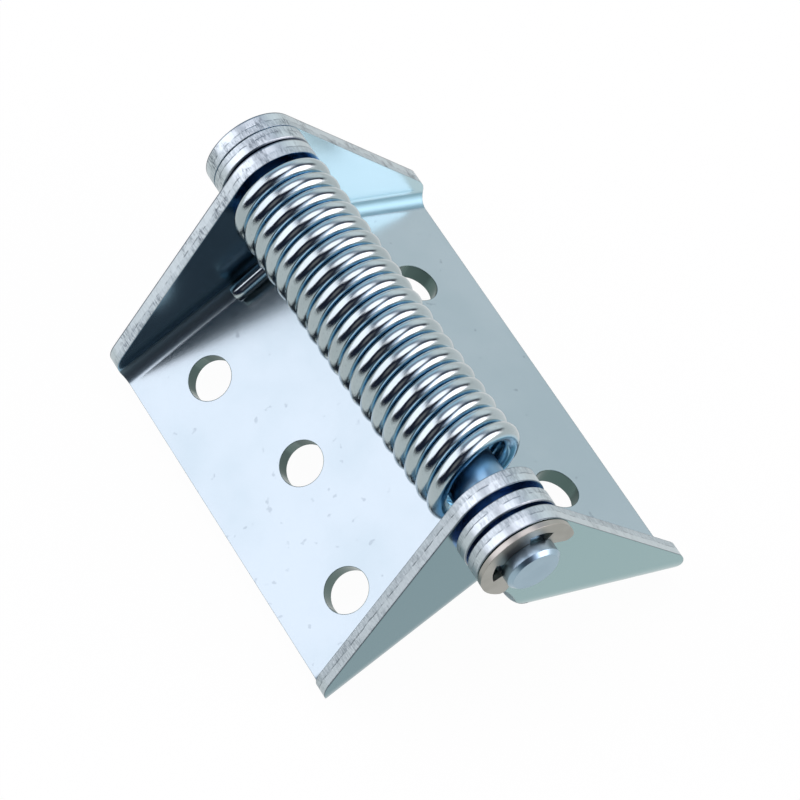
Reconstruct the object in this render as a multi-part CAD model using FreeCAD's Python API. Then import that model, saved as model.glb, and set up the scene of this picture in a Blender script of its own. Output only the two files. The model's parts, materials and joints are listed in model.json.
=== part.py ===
import FreeCAD, Part
import math
import os
from FreeCAD import Vector

# Driving dimensions in millimetres and degrees
# X runs across the leaves, Y along the pin from the clip end to the head end, Z up
sheet = 3.0
pin_diameter = 10.0
leaf_length = 78.0
leaf_reach = 45.0
pin_height = 20.5
rest_tilt = 26.7
knuckle_wall = 3.8
hole_diameter = 8.4
hole_spacing = 49.0
outer_hole_reach = 32.1
middle_hole_reach = 26.6
wire = 3.3
top_passes = 19

# Clearances
pin_clearance = 0.05
washer_clearance = 0.15
clip_clearance = 0.05
stop_gap = 0.3
head_gap = 0.1
clip_gap = 0.3
leg_gap = 0.25
coil_play = 1.38
coil_lift = 0.3

# Stack along the pin, from the head end to the clip end
far_washer_gap = 0.5
near_washer_gap = 1.25
near_ear_gap = 0.85

# Details of the bent leaves
bend_radius = 2.6
bend_outside = 6.2
ear_slope = 27.7
tip_radius = 4.5
neck_radius = 20.0
heel_radius = 5.8
heel_height = 4.1

# Details of the pin, washers and clip
washer_thickness = sheet
washer_chamfer = 0.25
head_height = 1.5
head_overhang = 1.2
head_chamfer = 0.4
tip_chamfer = 0.7
tip_overrun = 2.7
groove_depth = 0.5
clip_thickness = 1.0
groove_side_play = 0.05
clip_band = 3.85
clip_opening_angle = -60.0
clip_front = 4.2
clip_slot = 8.9
clip_flare = 30.0
clip_recess = 2.1
recess_start = 33.0
recess_end = 76.0
clip_tip_radius = 1.1

# Details of the spring
far_leg_margin = 2.6
near_leg_margin = 4.4
far_turn_lean = -0.3
near_turn_lean = 1.1
lean_growth = 1.5
coil_skew = 0.6
last_turn_slack = 0.7
last_turn_flare = 0.3
leg_wrap = 32.7
leg_bend_radius = 5.0
leg_end_reach = 19.63
leg_end_slope = 4.6

# Sizes tied to the driving dimensions
pin_radius = pin_diameter / 2
knuckle_radius = pin_radius + knuckle_wall
groove_radius = pin_radius - groove_depth
tilt = math.radians(rest_tilt)
inner_edge = pin_height * math.tan(tilt) + stop_gap / 2 / math.cos(tilt)
pin_z = leaf_reach * math.sin(tilt) + pin_height * math.cos(tilt)
margin = 5.0

# Positions along the pin, worked out from the outer leaf's far ear
stack_gaps = far_washer_gap + near_washer_gap + near_ear_gap
outer_length = leaf_length + 2 * (washer_thickness + sheet) + stack_gaps
head_face = head_gap + head_height
pin_length = head_face + outer_length + clip_gap + clip_thickness + tip_overrun
pin_far = pin_length / 2
outer_far = pin_far - head_face
outer_near = outer_far - outer_length
far_washer_y = outer_far - sheet - washer_thickness
inner_far = far_washer_y - far_washer_gap
inner_near = inner_far - leaf_length
near_washer_y = inner_near - near_washer_gap - washer_thickness
clip_y = outer_near - clip_gap - clip_thickness
pin_near = clip_y - tip_overrun
outer_middle = (outer_far + outer_near) / 2
inner_middle = (inner_far + inner_near) / 2

# Coil
coil_radius = pin_radius + coil_play + wire / 2
coil_z = pin_z + coil_lift
far_leg_y = inner_far - sheet - far_leg_margin
near_leg_y = inner_near + sheet + near_leg_margin
half_turns = 2 * top_passes - 1
half_pitch = (far_leg_y - near_leg_y - far_turn_lean - near_turn_lean) / half_turns


def cylinder_along_pin(radius, start, length, x=0.0, z=0.0):
    return Part.makeCylinder(radius, length, Vector(x, start, z), Vector(0, 1, 0))


def polar(centre, radius, angle):
    x = centre.x + radius * math.cos(math.radians(angle))
    z = centre.z + radius * math.sin(math.radians(angle))
    return Vector(x, centre.y, z)


def towards(start, end, distance):
    step = (end - start).normalize() * distance
    return start + step


# Side view of an ear: X outward from the pin's foot on the plate, Z off the back face
def ear_outline():
    knuckle = Vector(0, 0, pin_height)
    heel = Vector(inner_edge, 0, heel_height + heel_radius)
    to_knuckle = knuckle_radius + neck_radius
    to_heel = heel_radius + neck_radius
    span = (heel - knuckle).Length
    along = (to_knuckle ** 2 - to_heel ** 2 + span ** 2) / (2 * span)
    aside = math.sqrt(to_knuckle ** 2 - along ** 2)
    course = (heel - knuckle).normalize()
    neck = knuckle + course * along + Vector(course.z, 0, -course.x) * aside
    slope = math.radians(ear_slope)
    tip_x = leaf_reach - tip_radius
    tip_z = pin_height + (knuckle_radius - tip_radius) / math.cos(slope) - tip_x * math.tan(slope)
    tip = Vector(tip_x, 0, tip_z)
    tip_start = polar(tip, tip_radius, 90.0 - ear_slope)
    tip_middle = polar(tip, tip_radius, 45.0 - ear_slope / 2)
    tip_end = polar(tip, tip_radius, 0.0)
    slope_end = polar(knuckle, knuckle_radius, 90.0 - ear_slope)
    neck_start = towards(knuckle, neck, knuckle_radius)
    neck_end = towards(heel, neck, heel_radius)
    neck_middle = towards(neck, (neck_start + neck_end) * 0.5, neck_radius)
    heel_foot = Vector(inner_edge, 0, heel_height)
    heel_middle = towards(heel, (neck_end + heel_foot) * 0.5, heel_radius)
    knuckle_middle = polar(knuckle, knuckle_radius, 150.0)
    back_inner = Vector(inner_edge, 0, 0)
    back_free = Vector(leaf_reach, 0, 0)
    return Part.Wire([
        Part.makeLine(back_inner, back_free),
        Part.makeLine(back_free, tip_end),
        Part.Arc(tip_end, tip_middle, tip_start).toShape(),
        Part.makeLine(tip_start, slope_end),
        Part.Arc(slope_end, knuckle_middle, neck_start).toShape(),
        Part.Arc(neck_start, neck_middle, neck_end).toShape(),
        Part.Arc(neck_end, heel_middle, heel_foot).toShape(),
        Part.makeLine(heel_foot, back_inner),
    ])


# A solid as wide as the leaf is long, with its long bottom edges rounded
def rounded_trough(length, lift, radius):
    height = pin_height + knuckle_radius + margin
    width = leaf_reach + knuckle_radius + 2 * margin
    corner = Vector(-knuckle_radius - margin, -length / 2, lift)
    block = Part.makeBox(width, length, height, corner)
    bottom = []
    for edge in block.Edges:
        middle = edge.CenterOfMass
        if abs(middle.z - lift) < 1e-6 and edge.BoundBox.XLength > width / 2:
            bottom.append(edge)
    return block.makeFillet(radius, bottom)


# One leaf lying flat on its back face, with its free edge toward +X
def flat_leaf(length):
    outline = ear_outline()
    outline.translate(Vector(0, -length / 2, 0))
    side = Part.Face(outline).extrude(Vector(0, length, 0))
    outside = rounded_trough(length, 0.0, bend_outside)
    inside = rounded_trough(length - 2 * sheet, sheet, bend_radius)
    leaf = side.common(outside.cut(inside))
    bore_radius = pin_radius + pin_clearance
    bore = cylinder_along_pin(bore_radius, -length / 2 - margin, length + 2 * margin, z=pin_height)
    leaf = leaf.cut(bore)
    places = [
        (outer_hole_reach, hole_spacing / 2),
        (middle_hole_reach, 0.0),
        (outer_hole_reach, -hole_spacing / 2),
    ]
    for reach, y in places:
        leaf = leaf.cut(Part.makeCylinder(hole_diameter / 2, 3 * sheet, Vector(reach, y, -sheet)))
    return leaf.removeSplitter()


# Both leaves hang from the pin, so that the plates slope down and outward
def hang(leaf, side, middle):
    if side < 0:
        leaf.rotate(Vector(0, 0, 0), Vector(0, 0, 1), 180)
    leaf.rotate(Vector(0, 0, pin_height), Vector(0, 1, 0), side * rest_tilt)
    leaf.translate(Vector(0, middle, pin_z - pin_height))
    return leaf


def outer_leaf():
    return hang(flat_leaf(outer_length), 1, outer_middle)


def inner_leaf():
    return hang(flat_leaf(leaf_length), -1, inner_middle)


def hinge_pin():
    head_radius = pin_radius + head_overhang
    groove_start = clip_y - groove_side_play
    groove_end = clip_y + clip_thickness + groove_side_play
    head_start = pin_far - head_height
    outline = [
        (0.0, pin_near),
        (pin_radius - tip_chamfer, pin_near),
        (pin_radius, pin_near + tip_chamfer),
        (pin_radius, groove_start),
        (groove_radius, groove_start),
        (groove_radius, groove_end),
        (pin_radius, groove_end),
        (pin_radius, head_start),
        (head_radius, head_start),
        (head_radius, pin_far - head_chamfer),
        (head_radius - head_chamfer, pin_far),
        (0.0, pin_far),
        (0.0, pin_near),
    ]
    points = [Vector(radius, y, 0) for radius, y in outline]
    pin = Part.Face(Part.makePolygon(points)).revolve(Vector(0, 0, 0), Vector(0, 1, 0), 360)
    pin.translate(Vector(0, 0, pin_z))
    return pin


def washer(start):
    bore_radius = pin_radius + washer_clearance
    ring = cylinder_along_pin(knuckle_radius, start, washer_thickness)
    rims = [edge for edge in ring.Edges if edge.Closed]
    ring = ring.makeChamfer(washer_chamfer, rims)
    ring = ring.cut(cylinder_along_pin(bore_radius, start - margin, washer_thickness + 2 * margin))
    ring.translate(Vector(0, 0, pin_z))
    return ring


# The clip's mouth, narrow at the pin and flaring outward between the arms
def clip_mouth(length):
    narrow = clip_slot / 2
    seat_radius = groove_radius + clip_clearance
    throat = math.sqrt(seat_radius ** 2 - narrow ** 2)
    broad = narrow + (length - throat) * math.tan(math.radians(clip_flare))
    corners = [
        Vector(-narrow, 0, 0),
        Vector(-narrow, -throat, 0),
        Vector(-broad, -length, 0),
        Vector(broad, -length, 0),
        Vector(narrow, -throat, 0),
        Vector(narrow, 0, 0),
        Vector(-narrow, 0, 0),
    ]
    return Part.Face(Part.makePolygon(corners)).extrude(Vector(0, 0, clip_thickness))


# Snap clip, drawn lying flat with its opening toward -Y, then stood up in the pin's groove
def retaining_clip():
    outer_radius = pin_radius + clip_band
    seat_radius = groove_radius + clip_clearance
    recess_radius = seat_radius + clip_recess
    wide = 2 * outer_radius
    clip = Part.makeCylinder(outer_radius, clip_thickness)
    clip = clip.cut(Part.makeBox(wide, wide, clip_thickness, Vector(-outer_radius, -clip_front - wide, 0)))
    clip = clip.cut(clip_mouth(wide))
    clip = clip.cut(Part.makeCylinder(seat_radius, clip_thickness))
    sweep = recess_end - recess_start
    for first in (90.0 - recess_end, 90.0 + recess_start):
        wedge = Part.makeCylinder(
            recess_radius, clip_thickness, Vector(0, 0, 0), Vector(0, 0, 1), sweep)
        wedge.rotate(Vector(0, 0, 0), Vector(0, 0, 1), first)
        clip = clip.cut(wedge)
    tips = []
    for edge in clip.Edges:
        middle = edge.CenterOfMass
        upright = edge.BoundBox.ZLength > clip_thickness / 2 and edge.BoundBox.XLength < 1e-6
        if upright and abs(middle.y + clip_front) < 1e-6:
            tips.append(edge)
    clip = clip.makeFillet(clip_tip_radius, tips)
    clip.rotate(Vector(0, 0, 0), Vector(0, 0, 1), 90.0 + clip_opening_angle)
    clip.rotate(Vector(0, 0, 0), Vector(1, 0, 0), 90)
    clip.translate(Vector(0, clip_y + clip_thickness, pin_z))
    return clip


# A place on a leaf's side view, carried to the hinge at rest
def on_leaf(side, y, reach, height):
    above = height - pin_height
    x = side * (reach * math.cos(tilt) + above * math.sin(tilt))
    z = pin_z - reach * math.sin(tilt) + above * math.cos(tilt)
    return Vector(x, y, z)


# Leg from the coil to its end on a plate: straight, one bend, then nearly flat
def leg(side, y, start, course):
    end = on_leaf(side, y, leg_end_reach, sheet + wire / 2 + leg_gap)
    rise = math.tan(math.radians(leg_end_slope))
    back = on_leaf(side, y, 0.0, sheet + wire / 2 + leg_gap + leg_end_reach * rise)
    flat = (end - back).normalize()
    cross = course.x * flat.z - course.z * flat.x
    reach = ((end - start).x * flat.z - (end - start).z * flat.x) / cross
    corner = start + course * reach
    turn = math.acos(course.dot(flat))
    trim = leg_bend_radius * math.tan(turn / 2)
    bend_start = corner - course * trim
    bend_end = corner + flat * trim
    inward = (flat - course).normalize()
    centre = corner + inward * (leg_bend_radius / math.cos(turn / 2))
    bend_middle = centre - inward * leg_bend_radius
    return [
        Part.makeLine(start, bend_start),
        Part.Arc(bend_start, bend_middle, bend_end).toShape(),
        Part.makeLine(bend_end, end),
    ]


# Place of the wire at the end of each half turn, on one side of the coil and then the other.
# The coil leans more and more, stands a little askew on the pin, and its last turn is loose.
def turn_end(half):
    side = 1 if half % 2 == 0 else -1
    share = half / half_turns
    lean = far_turn_lean + (near_turn_lean - far_turn_lean) * share ** lean_growth
    x = side * coil_radius + coil_skew * (2 * share - 1)
    y = far_leg_y - far_turn_lean - half * half_pitch + side * lean
    if half == half_turns - 1:
        x += last_turn_flare
        y -= last_turn_slack
    return Vector(x, y, coil_z)


# Each half turn is half a circle in a plane of its own and leaves it straight up or down,
# so they meet smoothly however the coil leans
def coil_path():
    path = []
    for half in range(half_turns):
        up = 1 if half % 2 == 0 else -1
        start = turn_end(half)
        end = turn_end(half + 1)
        rise = (end - start).Length / 2
        middle = (start + end) * 0.5 + Vector(0, 0, up * rise)
        path.append(Part.Arc(start, middle, end).toShape())
    return path


def torsion_spring():
    far_centre = Vector(-coil_skew, far_leg_y, coil_z)
    near_centre = Vector(coil_skew, near_leg_y, coil_z)
    far_arc = [polar(far_centre, coil_radius, -leg_wrap * part) for part in (1.0, 0.5, 0.0)]
    near_arc = [polar(near_centre, coil_radius, 180.0 + leg_wrap * part) for part in (0.0, 0.5, 1.0)]
    wrap = math.radians(leg_wrap)
    far_course = Vector(-math.sin(wrap), 0, -math.cos(wrap))
    near_course = Vector(math.sin(wrap), 0, -math.cos(wrap))
    far_leg = leg(-1, far_leg_y, far_arc[0], far_course)
    near_leg = leg(1, near_leg_y, near_arc[-1], near_course)
    route = list(far_leg)
    route.append(Part.Arc(*far_arc).toShape())
    route += coil_path()
    route.append(Part.Arc(*near_arc).toShape())
    route += near_leg
    path = Part.Wire(Part.__sortEdges__(route))
    first = path.OrderedEdges[0]
    place = path.OrderedVertexes[0].Point
    course = first.tangentAt(first.FirstParameter)
    section = Part.Face(Part.Wire(Part.makeCircle(wire / 2, place, course)))
    return path.makePipe(section)


nodes = {
    "outer_leaf": outer_leaf(),
    "inner_leaf": inner_leaf(),
    "hinge_pin": hinge_pin(),
    "near_washer": washer(near_washer_y),
    "far_washer": washer(far_washer_y),
    "retaining_clip": retaining_clip(),
    "torsion_spring": torsion_spring(),
}

os.makedirs("parts", exist_ok=True)
for name, shape in nodes.items():
    solid = shape.Solids[0]
    solid.exportStep("parts/" + name + ".step")
    print(name, len(shape.Solids), solid.isValid(), round(solid.Volume, 1), solid.BoundBox)
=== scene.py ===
import json
import math

import bpy
from bpy.props import FloatProperty, FloatVectorProperty, IntProperty, PointerProperty
from mathutils import Matrix, Vector


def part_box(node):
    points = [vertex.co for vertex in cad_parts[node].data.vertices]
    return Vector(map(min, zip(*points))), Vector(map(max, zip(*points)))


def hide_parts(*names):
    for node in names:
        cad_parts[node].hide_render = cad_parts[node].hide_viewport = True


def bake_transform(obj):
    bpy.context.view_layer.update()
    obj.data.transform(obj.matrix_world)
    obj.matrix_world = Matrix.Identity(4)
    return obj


bl_info = {
    "name": "Spring hinge",
    "version": (1, 0, 0),
    "blender": (4, 5, 0),
    "location": "3D View > Sidebar > Hinge",
    "description": "Dresses a spring-loaded door hinge and winds its torsion spring",
    "category": "Object",
}

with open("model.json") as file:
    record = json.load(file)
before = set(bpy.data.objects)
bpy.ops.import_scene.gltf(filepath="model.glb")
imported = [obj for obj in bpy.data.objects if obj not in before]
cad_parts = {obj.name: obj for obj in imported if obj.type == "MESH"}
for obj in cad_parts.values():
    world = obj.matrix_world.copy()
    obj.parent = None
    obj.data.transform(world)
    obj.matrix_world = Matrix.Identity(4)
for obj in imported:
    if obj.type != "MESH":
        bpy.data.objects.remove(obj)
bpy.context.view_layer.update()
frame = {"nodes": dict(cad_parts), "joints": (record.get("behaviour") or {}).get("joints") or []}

# The record's leaf joint gives the pin's axis
MM = 0.001
leaf_joint = next(joint for joint in frame["joints"] if joint["name"] == "leaf_hinge")
PIN_Z = leaf_joint["pos_m"][2]
PIN_HEIGHT = 20.5 * MM
REST_TILT = math.radians(26.7)
SHEET = 3.0 * MM

# The leaves' holes, as reach from the pin's axis and place along the leaf
HOLES = ((32.1 * MM, 24.5 * MM), (26.6 * MM, 0.0), (32.1 * MM, -24.5 * MM))
HOLE_RADIUS = 4.2 * MM

# Heights between which a plate's bend turns into its ear
EAR_START = 4.2 * MM
EAR_FULL = 5.6 * MM

# Distances from the pin's axis: the painted blue shade in the gaps, and the spring's coil,
# within which the wire gets painted blue shade between its turns
GAP_FULL = 8.5 * MM
GAP_END = 8.9 * MM
COIL_FULL = 9.8 * MM
COIL_END = 11.0 * MM

# Distance from the middle at which the painted blue shade on the pin's shaft ends
SHAFT_FULL = 44.6 * MM
SHAFT_END = 45.3 * MM

# Sheared edges: the torn line's depth and wander as shares of the sheet, and the
# scale at which marks are stretched across the sheet
TORN_DEPTH = 0.55
TORN_WANDER = 0.18
ACROSS_SHEET = 0.22
EDGE_BUMP = 0.028 * MM
EDGE_BUMP_STRENGTH = 0.9

# Steps of mesh in a leg's straight parts and in its bend
STRAIGHT_STEPS = 4
BEND_STEPS = 10

# Studio light, in the order in which each light covers those before it: azimuth from
# +X, zenith angle from +Z, radius and blur in degrees, then the colour
SKY_COLOUR = (0.02, 0.026, 0.05)
LIGHTS = (
    (62.0, 62.0, 46.0, 14.0, (0.42, 0.47, 0.60)),
    (72.0, 86.0, 26.0, 10.0, (0.66, 0.95, 1.20)),
    (31.0, 82.0, 24.0, 9.0, (1.22, 1.25, 1.28)),
    (246.0, 94.0, 11.0, 6.0, (0.25, 0.42, 0.54)),
    (236.0, 48.0, 13.0, 6.0, (0.26, 0.24, 0.25)),
    (-47.0, 66.0, 27.0, 8.0, (1.20, 1.35, 1.70)),
    (-40.0, 75.0, 25.0, 4.0, (4.6, 4.0, 4.1)),
    (33.0, 16.0, 24.0, 4.0, (2.6, 2.4, 2.55)),
)

# The light panel, bounded by three straight edges, each given by the side it lies on
PANEL_SIDES = ((-0.945, -0.102, -0.310), (-0.061, 0.994, -0.105), (0.345, 0.723, 0.598))
PANEL_BLUR = 3.0
PANEL_COLOUR = (2.35, 2.22, 2.38)

FLOOR_DROP = 0.2 * MM
FLOOR_CLOTH = (0.85, 0.85, 0.85)


def node_centre(name):
    low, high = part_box(name)
    return (low + high) / 2


def node_size(name):
    low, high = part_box(name)
    return high - low


# Shader maths
class Shade:
    """A node's output that can be added, multiplied and compared as a number."""

    def __init__(self, paint, socket):
        self.paint = paint
        self.socket = socket

    def maths(self, operation, *others, clamp=False):
        settings = {"operation": operation, "use_clamp": clamp}
        values = [self, *others]
        return self.paint.node("ShaderNodeMath", settings, dict(enumerate(values)))

    def __add__(self, other):
        return self.maths("ADD", other)

    def __radd__(self, other):
        return self.maths("ADD", other)

    def __sub__(self, other):
        return self.maths("SUBTRACT", other)

    def __rsub__(self, other):
        return self.paint.number(other).maths("SUBTRACT", self)

    def __mul__(self, other):
        return self.maths("MULTIPLY", other)

    def __rmul__(self, other):
        return self.maths("MULTIPLY", other)

    def __truediv__(self, other):
        return self.maths("DIVIDE", other)

    def __rtruediv__(self, other):
        return self.paint.number(other).maths("DIVIDE", self)

    def __pow__(self, other):
        return self.maths("POWER", other)

    def __abs__(self):
        return self.maths("ABSOLUTE")

    def above(self, other):
        return self.maths("MAXIMUM", other)

    def clamped(self):
        return self.maths("ADD", 0.0, clamp=True)

    def step(self, start, end):
        """Rises smoothly from 0 at start to 1 at end; start may be the larger."""
        settings = {"interpolation_type": "SMOOTHSTEP"}
        low, high = min(start, end), max(start, end)
        ends = (0.0, 1.0) if start < end else (1.0, 0.0)
        values = {"Value": self, "From Min": low, "From Max": high,
                  "To Min": ends[0], "To Max": ends[1]}
        return self.paint.node("ShaderNodeMapRange", settings, values, "Result")

    def band(self, centre, width):
        """1 at centre, fading to 0 at width to either side."""
        return abs(self - centre).step(width, 0.0)


class Paint:
    """Builds one material's or world's nodes."""

    def __init__(self, owner):
        owner.use_nodes = True
        self.owner = owner
        self.tree = owner.node_tree
        self.tree.nodes.clear()

    def node(self, kind, settings=None, values=None, output=0):
        """One node: its type, its settings, its sockets' values or links, the output wanted."""
        made = self.tree.nodes.new(kind)
        for key, value in (settings or {}).items():
            setattr(made, key, value)
        for key, value in (values or {}).items():
            self.feed(self.find(made.inputs, key), value)
        return Shade(self, self.find(made.outputs, output))

    def feed(self, socket, value):
        """Links or sets a socket; a colour of three numbers gets full alpha."""
        if isinstance(value, Shade):
            self.tree.links.new(value.socket, socket)
            return
        if socket.type == "RGBA" and len(value) == 3:
            value = (*value, 1.0)
        socket.default_value = value

    @staticmethod
    def find(sockets, key):
        if isinstance(key, int):
            return sockets[key]
        usable = [s for s in sockets if key in (s.name, s.identifier) and s.enabled]
        if not usable:
            raise KeyError(f"no socket {key}")
        return usable[0]

    def number(self, value):
        if isinstance(value, Shade):
            return value
        made = self.tree.nodes.new("ShaderNodeValue")
        made.outputs[0].default_value = value
        return Shade(self, made.outputs[0])

    def coordinates(self, output):
        return self.node("ShaderNodeTexCoord", output=output)

    def parts(self, vector):
        split = self.node("ShaderNodeSeparateXYZ", values={"Vector": vector})
        outputs = split.socket.node.outputs
        return [Shade(self, outputs[axis]) for axis in "XYZ"]

    def join(self, x, y, z):
        return self.node("ShaderNodeCombineXYZ", values={"X": x, "Y": y, "Z": z})

    def scaled(self, vector, factors):
        values = {0: vector, 1: factors}
        return self.node("ShaderNodeVectorMath", {"operation": "MULTIPLY"}, values)

    def dot(self, vector, direction):
        values = {0: vector, 1: direction}
        return self.node("ShaderNodeVectorMath", {"operation": "DOT_PRODUCT"}, values, "Value")

    def noise(self, vector, scale, detail=2.0, roughness=0.5, distortion=0.0):
        values = {"Vector": vector, "Scale": scale, "Detail": detail,
                  "Roughness": roughness, "Distortion": distortion}
        return self.node("ShaderNodeTexNoise", values=values)

    def mix(self, factor, first, second):
        settings = {"data_type": "RGBA"}
        values = {"Factor_Float": factor, "A_Color": first, "B_Color": second}
        return self.node("ShaderNodeMix", settings, values, "Result_Color")

    def bump(self, height, distance, strength=1.0, normal=None):
        values = {"Height": height, "Distance": distance, "Strength": strength}
        if normal is not None:
            values["Normal"] = normal
        return self.node("ShaderNodeBump", values=values)

    def soft_edges(self, radius):
        return self.node("ShaderNodeBevel", {"samples": 6}, {"Radius": radius})

    def metal(self, colour, roughness, normal):
        values = {"Base Color": colour, "Metallic": 1.0,
                  "Roughness": roughness, "Normal": normal}
        shader = self.node("ShaderNodeBsdfPrincipled", values=values)
        self.node_output("ShaderNodeOutputMaterial", shader)

    def node_output(self, kind, surface):
        made = self.tree.nodes.new(kind)
        self.tree.links.new(surface.socket, made.inputs["Surface"])


def new_material(name):
    return Paint(bpy.data.materials.new(name))


def dress(node, material):
    """Gives a frame's piece one material, in place of the one it came with."""
    piece = frame["nodes"][node]
    piece.data.materials.clear()
    piece.data.materials.append(material)


# Materials
def leaf_axes(paint, side, vector, centred):
    """Turns X and Z into reach along a leaf's plate and height over its back face."""
    x, y, z = paint.parts(vector)
    if centred:
        z = z - PIN_Z
    x = x * side
    reach = x * math.cos(REST_TILT) - z * math.sin(REST_TILT)
    height = x * math.sin(REST_TILT) + z * math.cos(REST_TILT)
    if centred:
        height = height + PIN_HEIGHT
    return reach, y, height


def sheared_edge(paint, place, run, depth, finish):
    """Colour, roughness and relief of a punched edge; run points along it, depth is 0 to 1."""
    streaks = paint.noise(run, 2900.0, 4.0, 0.7)
    patches = paint.noise(place, 230.0, 4.0, 0.6)
    wander = paint.noise(place, 300.0, 3.0, 0.55)
    broken = paint.noise(place, 620.0, 2.0, 0.5).step(0.44, 0.56)
    wavy_depth = depth + (wander - 0.5) * TORN_WANDER
    torn = wavy_depth.step(TORN_DEPTH - 0.05, TORN_DEPTH + 0.05)
    ticks = streaks.step(0.28, 0.78) * (0.35 + 0.50 * torn)
    colour = paint.mix(ticks, finish.edge_colour, finish.edge_shade)
    # Smudges grow stronger towards the far end of the hinge
    towards_far_end = paint.parts(place)[1].step(-30 * MM, 30 * MM)
    smudge = patches.step(0.48, 0.62) * streaks.step(0.42, 0.60) * (0.32 + 0.36 * towards_far_end)
    colour = paint.mix(smudge, colour, finish.dark_marks_and_edge_shade)
    line = wavy_depth.band(TORN_DEPTH, 0.06) * broken
    # Painted shade: a dark line along both borders of the edge, in the fracture line's colour
    rim = depth.step(0.10, 0.03).above(depth.step(0.94, 0.99) * 0.6)
    colour = paint.mix((line * 0.55).above(rim * 0.8), colour, finish.dark_marks_and_edge_shade)
    roughness = 0.30 + torn * 0.10 + patches * 0.08
    relief = streaks * (0.4 + torn) - line * 1.2 - rim
    return colour, roughness, relief


def plated_sheet(name, side, finish):
    """A leaf's cloudy plating and sheared edges, with painted reflections on its ears and bends,
    painted shade in its holes and painted blue shade in its gaps.
    """
    paint = new_material(name)
    node = "outer_leaf" if side > 0 else "inner_leaf"
    place = paint.coordinates("Object")
    reach, along, height = leaf_axes(paint, side, place, True)
    facing_reach, facing_along, _ = leaf_axes(paint, side, paint.coordinates("Normal"), False)
    sideways = abs(facing_along)
    from_middle = along - node_centre(node).y
    on_ear = height.step(EAR_START, EAR_FULL)
    across_ear = sideways.step(0.5, 0.2) * on_ear
    sheared = abs(facing_reach).step(0.2, 0.45).above(across_ear)
    bore = paint.number(0.0)
    for hole_reach, hole_along in HOLES:
        away = ((reach - hole_reach) ** 2.0 + (from_middle - hole_along) ** 2.0) ** 0.5
        bore = bore.above(away.step(HOLE_RADIUS + 0.10 * MM, HOLE_RADIUS + 0.03 * MM))
    sheared = sheared * (1.0 - bore)

    cloud = paint.noise(place, 45.0, 3.0, 0.55)
    grain = paint.noise(paint.join(reach * 0.25, along, height), 2600.0, 2.0, 0.6)
    fine = paint.noise(place, 900.0, 3.0, 0.6)
    specks = paint.noise(place, 520.0, 2.0, 0.4).step(0.69, 0.76)
    plating = paint.mix(cloud.step(0.35, 0.7), finish.sheet_colour, finish.sheet_tint)
    plating = paint.mix(specks * 0.22, plating, finish.dark_marks_and_edge_shade)

    # The ears' faces get painted reflections, lighter or darker by which way they face.
    # The gaps show the outer leaf's ears from inside, and the inner leaf's from outside
    # or at the far end
    ear_face = sideways.step(0.5, 0.9)
    outside = (facing_along * from_middle).step(-MM, MM)
    if side > 0:
        ears = paint.mix(outside, finish.outer_inside_reflection, finish.outer_ear_reflection)
        bend_reflection = finish.outer_bend_reflection
        gap_side = 1.0 - outside
    else:
        ears = paint.mix(outside, finish.inner_inside_reflection, finish.inner_ear_reflection)
        bend_reflection = finish.inner_bend_reflection
        gap_side = outside.above(from_middle.step(-MM, MM))
    plating = paint.mix(ear_face, plating, ears)
    from_pin = (reach ** 2.0 + (height - PIN_HEIGHT) ** 2.0) ** 0.5
    # Painted blue shade on the ears' faces where they show only in the gaps
    in_gap = from_pin.step(GAP_END, GAP_FULL) * ear_face * gap_side
    plating = paint.mix(in_gap, plating, finish.gap_shade)
    # Painted reflection in the bends beside the ears, dark on the inner leaf
    bend = sideways.step(0.05, 0.30) * sideways.step(0.998, 0.94) * (1.0 - outside)
    plating = paint.mix(bend, plating, bend_reflection)
    face_roughness = 0.17 + cloud * 0.06 + fine * 0.05 + bend * 0.26

    depth_ear = (node_size(node).y / 2 - abs(from_middle)) / SHEET
    depth = on_ear * depth_ear + (1.0 - on_ear) * height / SHEET
    spread = 1.0 - ACROSS_SHEET
    run = paint.join(
        reach, along * (1.0 - spread * on_ear), height * (ACROSS_SHEET + spread * on_ear))
    edge_colour, edge_roughness, edge_relief = sheared_edge(paint, place, run, depth, finish)

    colour = paint.mix(sheared, plating, edge_colour)
    # Painted shade on the holes' walls
    colour = paint.mix(bore, colour, finish.hole_shade)
    roughness = face_roughness * (1.0 - sheared) + sheared * edge_roughness
    relief = grain * 0.10 + edge_relief * sheared
    normal = paint.bump(relief, EDGE_BUMP, EDGE_BUMP_STRENGTH, paint.soft_edges(0.25 * MM))
    paint.metal(colour, roughness, normal)
    return paint.owner


def punched_washer(name, node, finish):
    """A washer with a sheared rim; its flat faces only show in the gaps beside it, and carry the
    painted blue gap shade.
    """
    paint = new_material(name)
    place = paint.coordinates("Object")
    x, y, z = paint.parts(place)
    facing_y = paint.parts(paint.coordinates("Normal"))[1]
    rim = abs(facing_y).step(0.95, 0.75)
    depth = (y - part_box(node)[0].y) / SHEET
    run = paint.join(x, y * ACROSS_SHEET, z)
    edge_colour, edge_roughness, edge_relief = sheared_edge(paint, place, run, depth, finish)
    cloud = paint.noise(place, 120.0, 3.0, 0.6)
    # The flat faces get the painted blue gap shade, the rim its sheared edge
    colour = paint.mix(rim, finish.gap_shade, edge_colour)
    roughness = rim * edge_roughness + (1.0 - rim) * (0.22 + cloud * 0.08)
    normal = paint.bump(
        edge_relief * rim, EDGE_BUMP, EDGE_BUMP_STRENGTH, paint.soft_edges(0.18 * MM))
    paint.metal(colour, roughness, normal)
    return paint.owner


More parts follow.
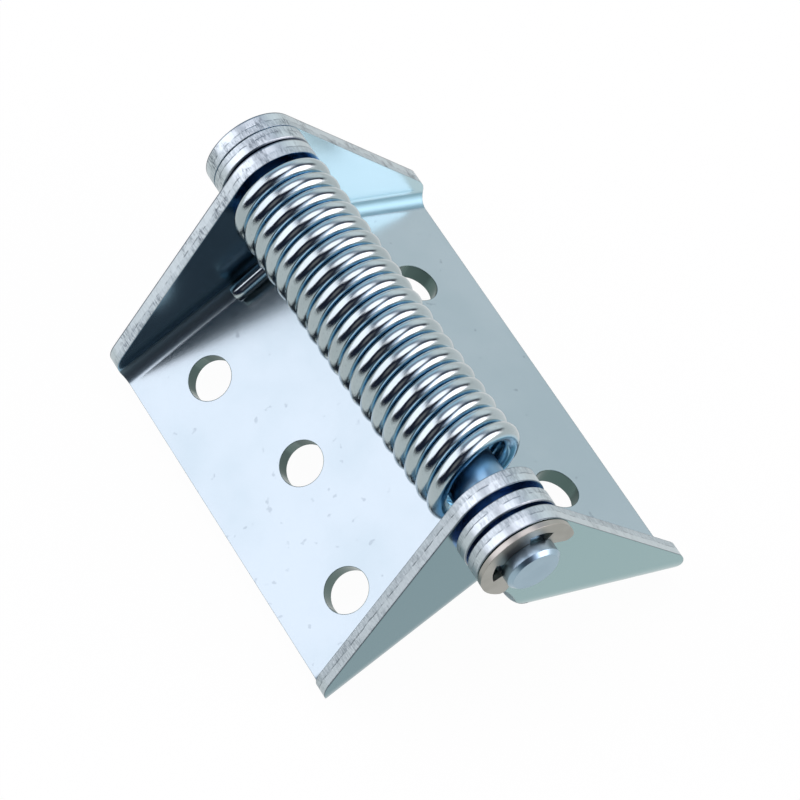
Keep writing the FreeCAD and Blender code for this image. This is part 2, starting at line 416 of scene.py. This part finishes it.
def turned_steel(name, finish):
    """Turned steel with rings from the tool and a cloudy plating, with painted blue shade
    between the ears.
    """
    paint = new_material(name)
    place = paint.coordinates("Object")
    x, y, z = paint.parts(place)
    z = z - PIN_Z
    radius = (x * x + z * z) ** 0.5
    cloud = paint.noise(place, 120.0, 3.0, 0.6)
    rings = paint.noise(paint.join(radius, y, 0.0), 5200.0, 2.0, 0.6)
    specks = paint.noise(place, 1500.0, 2.0, 0.5)
    tone = paint.mix(cloud.step(0.3, 0.7), finish.pin_colour, finish.pin_shade)
    # Painted blue shade on the shaft between the ears
    tone = paint.mix(abs(y).step(SHAFT_END, SHAFT_FULL), tone, finish.pin_shaft_shade)
    normal = paint.bump(
        rings * 0.5 + specks * 0.5, 0.012 * MM, 0.7, paint.soft_edges(0.15 * MM))
    paint.metal(tone, 0.22 + cloud * 0.1 + specks * 0.05, normal)
    return paint.owner


def clip_steel(name, finish):
    """Nickel-toned spring steel with a faint grain."""
    paint = new_material(name)
    place = paint.coordinates("Object")
    cloud = paint.noise(place, 160.0, 3.0, 0.6)
    specks = paint.noise(place, 1800.0, 2.0, 0.5)
    tone = paint.mix(cloud.step(0.3, 0.7), finish.clip_colour, finish.clip_shade)
    normal = paint.bump(specks, 0.01 * MM, 0.6, paint.soft_edges(0.18 * MM))
    paint.metal(tone, 0.3 + cloud * 0.1, normal)
    return paint.owner


def spring_wire(name, finish):
    """Drawn wire: faint lines and scuffs, cloudy bright plating, with painted blue shade between
    the turns.
    """
    paint = new_material(name)
    place = paint.coordinates("Object")
    run = paint.node("ShaderNodeUVMap", {"uv_map": "along_wire"})
    lines = paint.noise(paint.scaled(run, (90.0, 60.0, 1.0)), 1.0, 2.0, 0.5)
    cloud = paint.noise(place, 110.0, 3.0, 0.6)
    tone = paint.mix(cloud.step(0.3, 0.7), finish.wire_colour, finish.wire_shade)
    x, _, z = paint.parts(place)
    z = z - PIN_Z
    facing_x, _, facing_z = paint.parts(paint.coordinates("Normal"))
    from_pin = (x * x + z * z) ** 0.5
    outward = (x * facing_x + z * facing_z) / from_pin
    # Painted blue shade on the wire's sides between the coil's turns
    groove = outward.step(0.65, 0.15) * from_pin.step(COIL_END, COIL_FULL)
    tone = paint.mix(groove, tone, finish.wire_groove_shade)
    scuffs = paint.noise(paint.scaled(run, (30.0, 2.2, 1.0)), 1.0, 3.0, 0.6)
    tone = paint.mix(scuffs.step(0.55, 0.75) * 0.35, tone, finish.wire_scuff)
    normal = paint.bump(lines + scuffs, 0.010 * MM, 0.5)
    paint.metal(tone, 0.08 + cloud * 0.05 + scuffs * 0.04, normal)
    return paint.owner


# The spring
def turn_point(centre, radius, degrees):
    """A point of an upright circle round centre, turned from +X towards +Z."""
    angle = math.radians(degrees)
    return centre + Vector((radius * math.cos(angle), 0, radius * math.sin(angle)))


def arc_points(centre, first, second, start, end, steps):
    """Points of an arc round centre, whose axes first and second are vectors."""
    points = []
    for step in range(1, steps + 1):
        angle = start + (end - start) * step / steps
        points.append(centre + first * math.cos(angle) + second * math.sin(angle))
    return points


def on_leaf(side, y, reach, height):
    """A place on a leaf's side view, carried to the hinge at rest."""
    above = height - PIN_HEIGHT
    x = side * (reach * math.cos(REST_TILT) + above * math.sin(REST_TILT))
    z = PIN_Z - reach * math.sin(REST_TILT) + above * math.cos(REST_TILT)
    return Vector((x, y, z))


def leg_points(spring, side, y, start, course):
    """The leg after start: straight, one bend, then nearly flat to its cut end."""
    lie = SHEET + spring.wire / 2 + spring.leg_gap
    rise = math.tan(spring.leg_slope)
    end = on_leaf(side, y, spring.leg_reach, lie)
    back = on_leaf(side, y, 0.0, lie + spring.leg_reach * rise)
    flat = (end - back).normalized()
    cross = course.x * flat.z - course.z * flat.x
    gap = end - start
    corner = start + course * ((gap.x * flat.z - gap.z * flat.x) / cross)
    turn = course.angle(flat)
    trim = spring.leg_bend * math.tan(turn / 2)
    inward = (flat - course).normalized()
    centre = corner + inward * (spring.leg_bend / math.cos(turn / 2))
    first = corner - course * trim - centre
    second = course * spring.leg_bend
    steps = range(1, STRAIGHT_STEPS + 1)
    points = [start.lerp(centre + first, step / STRAIGHT_STEPS) for step in steps]
    points += arc_points(centre, first, second, 0.0, turn, BEND_STEPS)
    bend_end = points[-1]
    points += [bend_end.lerp(end, step / STRAIGHT_STEPS) for step in steps]
    return points


def turn_end(spring, half, half_turns):
    """The wire's place at the end of a half turn, on one side of the coil or the other."""
    side = 1 if half % 2 == 0 else -1
    share = half / half_turns
    leans = spring.far_lean + spring.near_lean
    half_pitch = (spring.far_leg - spring.near_leg - leans) / half_turns
    lean = spring.far_lean + (spring.near_lean - spring.far_lean) * share ** spring.lean_growth
    x = side * spring.coil_radius + spring.skew * (2 * share - 1)
    y = spring.far_leg - spring.far_lean - half * half_pitch + side * lean
    if half == half_turns - 1:
        x += spring.last_flare
        y -= spring.last_slack
    return Vector((x, y, PIN_Z + spring.coil_lift))


def spring_route(spring):
    """The wire's centre line, from the inner leaf's leg to the outer leaf's."""
    radius = spring.coil_radius
    centre_z = PIN_Z + spring.coil_lift
    far_centre = Vector((-spring.skew, spring.far_leg, centre_z))
    near_centre = Vector((spring.skew, spring.near_leg, centre_z))
    half_turns = 2 * spring.top_passes - 1
    wrap = math.degrees(spring.leg_wrap)
    steps = spring.turn_steps // 2
    far_start = turn_point(far_centre, radius, -wrap)
    near_end = turn_point(near_centre, radius, 180.0 + wrap)
    across = math.sin(spring.leg_wrap)
    down = math.cos(spring.leg_wrap)
    far_leg = leg_points(spring, -1, spring.far_leg, far_start, Vector((-across, 0, -down)))
    near_leg = leg_points(spring, 1, spring.near_leg, near_end, Vector((across, 0, -down)))
    points = far_leg[::-1] + [far_start]
    short = max(2, round(steps * wrap / 180.0))
    for step in range(1, short + 1):
        points.append(turn_point(far_centre, radius, -wrap + wrap * step / short))
    for half in range(half_turns):
        start, end = turn_end(spring, half, half_turns), turn_end(spring, half + 1, half_turns)
        centre = (start + end) / 2
        up = 1 if half % 2 == 0 else -1
        rise = Vector((0, 0, up * (end - start).length / 2))
        points += arc_points(centre, start - centre, rise, 0.0, math.pi, steps)
    for step in range(1, short + 1):
        points.append(turn_point(near_centre, radius, 180.0 + wrap * step / short))
    return points + near_leg


def sweep(name, points, radius, sides, chamfer):
    """A round wire along points, with both ends cut square and lightly chamfered."""
    count = len(points)
    courses = []
    for index in range(count):
        before, after = points[max(index - 1, 0)], points[min(index + 1, count - 1)]
        courses.append((after - before).normalized())
    rings = [(points[0], courses[0], radius - chamfer)]
    rings.append((points[0] + courses[0] * chamfer, courses[0], radius))
    rings += [(points[i], courses[i], radius) for i in range(1, count - 1)]
    rings.append((points[-1] - courses[-1] * chamfer, courses[-1], radius))
    rings.append((points[-1], courses[-1], radius - chamfer))
    verts, along, length = [], [], 0.0
    pin_axis = Vector((0, 1, 0))
    for index, (centre, course, size) in enumerate(rings):
        first = (pin_axis - course * pin_axis.dot(course)).normalized()
        second = course.cross(first)
        if index:
            length += (centre - rings[index - 1][0]).length
        along.append(length)
        for side in range(sides):
            angle = 2 * math.pi * side / sides
            verts.append(centre + (first * math.cos(angle) + second * math.sin(angle)) * size)
    faces, layout = [], []
    for ring in range(len(rings) - 1):
        for side in range(sides):
            after = (side + 1) % sides
            low, high = ring * sides, (ring + 1) * sides
            faces.append((low + side, low + after, high + after, high + side))
            start, end = side / sides, (side + 1) / sides
            layout += [(start, along[ring]), (end, along[ring]),
                       (end, along[ring + 1]), (start, along[ring + 1])]
    last = (len(rings) - 1) * sides
    faces.append(tuple(reversed(range(sides))))
    faces.append(tuple(range(last, last + sides)))
    layout += [(0.0, 0.0)] * (2 * sides)
    mesh = bpy.data.meshes.new(name)
    mesh.from_pydata([tuple(vert) for vert in verts], [], faces)
    mesh.uv_layers.new(name="along_wire")
    for loop, (around, run) in zip(mesh.uv_layers[0].data, layout):
        loop.uv = (around, run / MM)
    smooth = [True] * (len(faces) - 2) + [False, False]
    for ring in (0, len(rings) - 2):
        for side in range(sides):
            smooth[ring * sides + side] = False
    mesh.polygons.foreach_set("use_smooth", smooth)
    mesh.validate()
    mesh.update()
    return mesh


# Properties
class HingeSpring(bpy.types.PropertyGroup):
    wire: FloatProperty(
        name="Wire", description="Diameter of the spring's wire",
        default=3.3 * MM, unit="LENGTH", precision=4)
    coil_radius: FloatProperty(
        name="Coil radius", description="Radius of the coil's centre line",
        default=8.03 * MM, unit="LENGTH", precision=5)
    coil_lift: FloatProperty(
        name="Coil lift", description="How far the legs push the coil up from the pin's axis",
        default=0.3 * MM, unit="LENGTH", precision=4)
    top_passes: IntProperty(
        name="Passes", description="How often the wire passes over the pin", default=19)
    far_leg: FloatProperty(
        name="Inner leaf's leg", description="Place of the inner leaf's leg along the pin",
        default=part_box("inner_leaf")[1].y - SHEET - 2.6 * MM, unit="LENGTH", precision=4)
    near_leg: FloatProperty(
        name="Outer leaf's leg", description="Place of the outer leaf's leg along the pin",
        default=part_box("inner_leaf")[0].y + SHEET + 4.4 * MM, unit="LENGTH", precision=4)
    far_lean: FloatProperty(
        name="Far lean", description="Lean of the first turn, beside the inner leaf's leg",
        default=-0.3 * MM, unit="LENGTH", precision=5)
    near_lean: FloatProperty(
        name="Near lean", description="Lean of the last turn, beside the outer leaf's leg",
        default=1.1 * MM, unit="LENGTH", precision=5)
    lean_growth: FloatProperty(
        name="Lean growth", description="How late along the coil the lean grows", default=1.5)
    skew: FloatProperty(
        name="Skew", description="How far the coil's ends stand aside from the pin's axis",
        default=0.6 * MM, unit="LENGTH", precision=5)
    last_slack: FloatProperty(
        name="Last turn's slack", description="How far the last turn springs towards the clip",
        default=0.1 * MM, unit="LENGTH", precision=5)
    last_flare: FloatProperty(
        name="Last turn's flare", description="How far the last turn springs outward",
        default=0.3 * MM, unit="LENGTH", precision=5)
    leg_wrap: FloatProperty(
        name="Leg wrap", description="Turn past the level before a leg leaves the coil",
        default=math.radians(32.7), subtype="ANGLE")
    leg_bend: FloatProperty(
        name="Leg bend", description="Radius of the bend in each leg",
        default=5.0 * MM, unit="LENGTH", precision=4)
    leg_reach: FloatProperty(
        name="Leg reach", description="How far along its plate a leg ends",
        default=19.63 * MM, unit="LENGTH", precision=4)
    leg_slope: FloatProperty(
        name="Leg slope", description="Slope of a leg's end towards its plate",
        default=math.radians(4.6), subtype="ANGLE")
    leg_gap: FloatProperty(
        name="Leg gap", description="Gap between a leg's end and its plate",
        default=0.25 * MM, unit="LENGTH", precision=5)
    end_chamfer: FloatProperty(
        name="End chamfer", description="Chamfer round the wire's cut ends",
        default=0.12 * MM, unit="LENGTH", precision=5)
    turn_steps: IntProperty(
        name="Steps", description="Steps of mesh in one turn", default=64)
    sides: IntProperty(
        name="Sides", description="Sides of the wire's mesh", default=32)


class HingeFinish(bpy.types.PropertyGroup):
    sheet_colour: FloatVectorProperty(
        name="Sheet", description="Plating on the leaves' faces",
        default=(0.335, 0.405, 0.435), subtype="COLOR", size=3)
    sheet_tint: FloatVectorProperty(
        name="Sheet tint", description="Cloudy tint in the leaves' plating",
        default=(0.305, 0.38, 0.41), subtype="COLOR", size=3)
    # Painted reflection on the outward faces of the outer leaf's ears
    outer_ear_reflection: FloatVectorProperty(
        name="Outer leaf's ears", description="Outward faces of the outer leaf's ears",
        default=(0.26, 0.395, 0.405), subtype="COLOR", size=3)
    # Painted reflection, darker, on the outward faces of the inner leaf's ears
    inner_ear_reflection: FloatVectorProperty(
        name="Inner leaf's ears", description="Outward faces of the inner leaf's ears",
        default=(0.165, 0.265, 0.295), subtype="COLOR", size=3)
    # Painted reflection on the outer leaf's ears' faces toward the spring
    outer_inside_reflection: FloatVectorProperty(
        name="Outer leaf's ears inside", description="Faces of its ears toward the spring",
        default=(0.42, 0.575, 0.62), subtype="COLOR", size=3)
    # Painted reflection on the inner leaf's ears' faces toward the spring
    inner_inside_reflection: FloatVectorProperty(
        name="Inner leaf's ears inside", description="Faces of its ears toward the spring",
        default=(0.24, 0.39, 0.50), subtype="COLOR", size=3)
    edge_colour: FloatVectorProperty(
        name="Sheared edge", description="Bright part of the leaves' sheared edges",
        default=(0.50, 0.575, 0.60), subtype="COLOR", size=3)
    edge_shade: FloatVectorProperty(
        name="Edge shade", description="Darker streaks in the sheared edges",
        default=(0.25, 0.31, 0.335), subtype="COLOR", size=3)
    # Painted shade darkening the screw holes' walls
    hole_shade: FloatVectorProperty(
        name="Hole walls", description="Walls of the screw holes",
        default=(0.085, 0.135, 0.125), subtype="COLOR", size=3)
    # Dark colour of the fracture line, smudges and specks, also used for the painted shade along
    # the edges' borders
    dark_marks_and_edge_shade: FloatVectorProperty(
        name="Fracture line", description="Dark line where the sheared edge tore",
        default=(0.055, 0.075, 0.10), subtype="COLOR", size=3)
    pin_colour: FloatVectorProperty(
        name="Pin", description="Plating on the pin",
        default=(0.31, 0.43, 0.51), subtype="COLOR", size=3)
    pin_shade: FloatVectorProperty(
        name="Pin shade", description="Cloudy shade in the pin's plating",
        default=(0.27, 0.385, 0.46), subtype="COLOR", size=3)
    # Painted blue shade on the pin between the ears
    pin_shaft_shade: FloatVectorProperty(
        name="Pin shaft", description="Bluer plating on the pin between the ears",
        default=(0.16, 0.285, 0.40), subtype="COLOR", size=3)
    # Painted reflection in the bends beside the outer leaf's ears
    outer_bend_reflection: FloatVectorProperty(
        name="Outer leaf's bends", description="Plating in the hollows beside its ears",
        default=(0.25, 0.425, 0.49), subtype="COLOR", size=3)
    # Painted reflection, dark, in the bends beside the inner leaf's ears
    inner_bend_reflection: FloatVectorProperty(
        name="Inner leaf's bends", description="Plating in the hollows beside its ears",
        default=(0.13, 0.18, 0.21), subtype="COLOR", size=3)
    # Painted blue shade on the faces that show only in the deep gaps beside the knuckles
    gap_shade: FloatVectorProperty(
        name="Gaps", description="Blue plating on the faces that show only in the gaps",
        default=(0.09, 0.22, 0.42), subtype="COLOR", size=3)
    clip_colour: FloatVectorProperty(
        name="Clip", description="Nickel colour of the retaining clip",
        default=(0.36, 0.36, 0.33), subtype="COLOR", size=3)
    clip_shade: FloatVectorProperty(
        name="Clip shade", description="Cloudy shade on the retaining clip",
        default=(0.30, 0.30, 0.27), subtype="COLOR", size=3)
    wire_colour: FloatVectorProperty(
        name="Wire", description="Plating on the spring's wire",
        default=(0.385, 0.455, 0.475), subtype="COLOR", size=3)
    wire_shade: FloatVectorProperty(
        name="Wire shade", description="Cloudy shade in the wire's plating",
        default=(0.345, 0.41, 0.425), subtype="COLOR", size=3)
    wire_scuff: FloatVectorProperty(
        name="Wire scuffs", description="Faint drawn lines along the wire",
        default=(0.20, 0.22, 0.23), subtype="COLOR", size=3)
    # Painted blue shade between the coil's turns
    wire_groove_shade: FloatVectorProperty(
        name="Wire grooves", description="Bluer plating between the coil's turns",
        default=(0.34, 0.57, 0.72), subtype="COLOR", size=3)


class HingeStage(bpy.types.PropertyGroup):
    floor_size: FloatProperty(
        name="Floor", description="Width of the floor", default=6.0, unit="LENGTH")
    whiteness: FloatProperty(
        name="Whiteness", description="Share of the floor that is seen as plain white",
        default=0.97, subtype="FACTOR", min=0.0, max=1.0)
    aim: FloatVectorProperty(
        name="Aim", description="The point in the middle of the picture",
        default=(-1.487 * MM, -7.257 * MM, 33.727 * MM), subtype="TRANSLATION", size=3,
        precision=5)
    distance: FloatProperty(
        name="Distance", description="From the camera to the aim point",
        default=649.0 * MM, unit="LENGTH")
    azimuth: FloatProperty(
        name="Azimuth", description="Camera's turn round the hinge",
        default=math.radians(-30.09), subtype="ANGLE")
    elevation: FloatProperty(
        name="Elevation", description="Camera's height over the horizon",
        default=math.radians(59.02), subtype="ANGLE")
    roll: FloatProperty(
        name="Roll", description="Camera's roll", default=math.radians(0.186), subtype="ANGLE")
    lens: FloatProperty(
        name="Lens", description="Focal length in millimetres on a 36 mm sensor", default=173.15)


# Operators
class HINGE_OT_plate_leaves(bpy.types.Operator):
    """Gives both leaves their zinc plating and sheared edges"""

    bl_idname = "hinge.plate_leaves"
    bl_label = "Plate the leaves"

    def execute(self, context):
        finish = context.scene.hinge_finish
        dress("outer_leaf", plated_sheet("outer_leaf_zinc", 1, finish))
        dress("inner_leaf", plated_sheet("inner_leaf_zinc", -1, finish))
        return {"FINISHED"}


class HINGE_OT_plate_pin(bpy.types.Operator):
    """Gives the pin its satin plating"""

    bl_idname = "hinge.plate_pin"
    bl_label = "Plate the pin"

    def execute(self, context):
        finish = context.scene.hinge_finish
        dress("hinge_pin", turned_steel("pin_zinc", finish))
        return {"FINISHED"}


class HINGE_OT_plate_washers(bpy.types.Operator):
    """Gives both washers their plating"""

    bl_idname = "hinge.plate_washers"
    bl_label = "Plate the washers"

    def execute(self, context):
        finish = context.scene.hinge_finish
        for node in ("near_washer", "far_washer"):
            dress(node, punched_washer(node + "_zinc", node, finish))
        return {"FINISHED"}


class HINGE_OT_plate_clip(bpy.types.Operator):
    """Gives the retaining clip its nickel tone"""

    bl_idname = "hinge.plate_clip"
    bl_label = "Plate the clip"

    def execute(self, context):
        dress("retaining_clip", clip_steel("clip_nickel", context.scene.hinge_finish))
        return {"FINISHED"}


class HINGE_OT_wind_spring(bpy.types.Operator):
    """Winds the torsion spring, which turns between the two leaves"""

    bl_idname = "hinge.wind_spring"
    bl_label = "Wind the spring"

    def execute(self, context):
        spring = context.scene.hinge_spring
        points = spring_route(spring)
        mesh = sweep("wound_spring", points, spring.wire / 2, spring.sides, spring.end_chamfer)
        mesh.materials.append(spring_wire("wire_zinc", context.scene.hinge_finish))
        wound = bpy.data.objects.new("wound_spring", mesh)
        context.scene.collection.objects.link(wound)
        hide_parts("torsion_spring")
        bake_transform(wound)
        return {"FINISHED"}


class HINGE_OT_build_stage(bpy.types.Operator):
    """Makes the floor, the light and the camera"""

    bl_idname = "hinge.build_stage"
    bl_label = "Build the stage"

    def execute(self, context):
        stage = context.scene.hinge_stage
        self.make_floor(context, stage)
        self.make_world(context)
        self.make_camera(context, stage)
        context.scene.view_settings.view_transform = "Standard"
        return {"FINISHED"}

    def make_floor(self, context, stage):
        half = stage.floor_size / 2
        mesh = bpy.data.meshes.new("floor")
        corners = [(-half, -half, 0), (half, -half, 0), (half, half, 0), (-half, half, 0)]
        mesh.from_pydata(corners, [], [(0, 1, 2, 3)])
        floor = bpy.data.objects.new("floor", mesh)
        floor.location.z = -FLOOR_DROP
        context.scene.collection.objects.link(floor)
        paint = new_material("floor_white")
        path = paint.node("ShaderNodeLightPath", output="Is Camera Ray")
        outputs = path.socket.node.outputs
        glossy = Shade(paint, outputs["Is Glossy Ray"])
        through = Shade(paint, outputs["Is Transmission Ray"])
        seen = (path + glossy + through).clamped() * stage.whiteness
        cloth = paint.node("ShaderNodeBsdfDiffuse", values={"Color": FLOOR_CLOTH})
        glow = paint.node("ShaderNodeEmission", values={"Color": (1.0, 1.0, 1.0)})
        both = paint.node("ShaderNodeMixShader", values={0: seen, 1: cloth, 2: glow})
        paint.node_output("ShaderNodeOutputMaterial", both)
        mesh.materials.append(paint.owner)

    def make_world(self, context):
        world = bpy.data.worlds.new("studio")
        context.scene.world = world
        paint = Paint(world)
        direction = paint.coordinates("Generated")
        light = SKY_COLOUR
        for azimuth, zenith, radius, blur, colour in LIGHTS:
            spot = self.spot(paint, direction, azimuth, zenith, radius, blur)
            light = paint.mix(spot, light, colour)
        panel = paint.number(1.0)
        for side in PANEL_SIDES:
            panel = panel * self.beyond(paint, direction, side, PANEL_BLUR)
        light = paint.mix(panel, light, PANEL_COLOUR)
        sky = paint.node("ShaderNodeBackground", values={"Color": light, "Strength": 1.0})
        paint.node_output("ShaderNodeOutputWorld", sky)

    def spot(self, paint, direction, azimuth, zenith, radius, blur):
        """1 inside a round soft light, 0 outside it; all angles in degrees."""
        turn, fall = math.radians(azimuth), math.radians(zenith)
        centre = Vector((math.cos(turn) * math.sin(fall), math.sin(turn) * math.sin(fall),
                         math.cos(fall)))
        inside = math.cos(math.radians(max(radius - blur, 0.0)))
        outside = math.cos(math.radians(radius + blur))
        return paint.dot(direction, centre).step(outside, inside)

    def beyond(self, paint, direction, side, blur):
        """1 on the side that a vector points to, 0 on the other, soft by blur degrees."""
        soft = math.sin(math.radians(blur))
        return paint.dot(direction, Vector(side).normalized()).step(-soft, soft)

    def make_camera(self, context, stage):
        level = math.cos(stage.elevation)
        back = Vector((math.sin(stage.azimuth) * level, -math.cos(stage.azimuth) * level,
                       math.sin(stage.elevation)))
        camera = bpy.data.objects.new("camera", bpy.data.cameras.new("camera"))
        camera.data.sensor_width = 36.0
        camera.data.lens = stage.lens
        camera.data.clip_start = 0.05
        camera.data.clip_end = 20.0
        turn = (-back).to_track_quat("-Z", "Y").to_matrix() @ Matrix.Rotation(stage.roll, 3, "Z")
        camera.matrix_world = Matrix.Translation(
            Vector(stage.aim) + back * stage.distance) @ turn.to_4x4()
        context.scene.collection.objects.link(camera)
        context.scene.camera = camera


class HINGE_PT_build(bpy.types.Panel):
    bl_idname = "HINGE_PT_build"
    bl_label = "Spring hinge"
    bl_space_type = "VIEW_3D"
    bl_region_type = "UI"
    bl_category = "Hinge"

    def draw(self, context):
        layout = self.layout
        for step in STEPS:
            layout.operator(step.bl_idname)
        for group in (context.scene.hinge_spring, context.scene.hinge_finish,
                      context.scene.hinge_stage):
            column = layout.column()
            for name in group.__annotations__:
                column.prop(group, name)


STEPS = (
    HINGE_OT_plate_leaves,
    HINGE_OT_plate_pin,
    HINGE_OT_plate_washers,
    HINGE_OT_plate_clip,
    HINGE_OT_wind_spring,
    HINGE_OT_build_stage,
)
CLASSES = (HingeSpring, HingeFinish, HingeStage, *STEPS, HINGE_PT_build)


def register():
    for made in CLASSES:
        bpy.utils.register_class(made)
    bpy.types.Scene.hinge_spring = PointerProperty(type=HingeSpring)
    bpy.types.Scene.hinge_finish = PointerProperty(type=HingeFinish)
    bpy.types.Scene.hinge_stage = PointerProperty(type=HingeStage)


def unregister():
    del bpy.types.Scene.hinge_stage
    del bpy.types.Scene.hinge_finish
    del bpy.types.Scene.hinge_spring
    for made in reversed(CLASSES):
        bpy.utils.unregister_class(made)


def main():
    register()
    bpy.ops.hinge.plate_leaves()
    bpy.ops.hinge.plate_pin()
    bpy.ops.hinge.plate_washers()
    bpy.ops.hinge.plate_clip()
    bpy.ops.hinge.wind_spring()
    bpy.ops.hinge.build_stage()


if __name__ == "__main__":
    main()
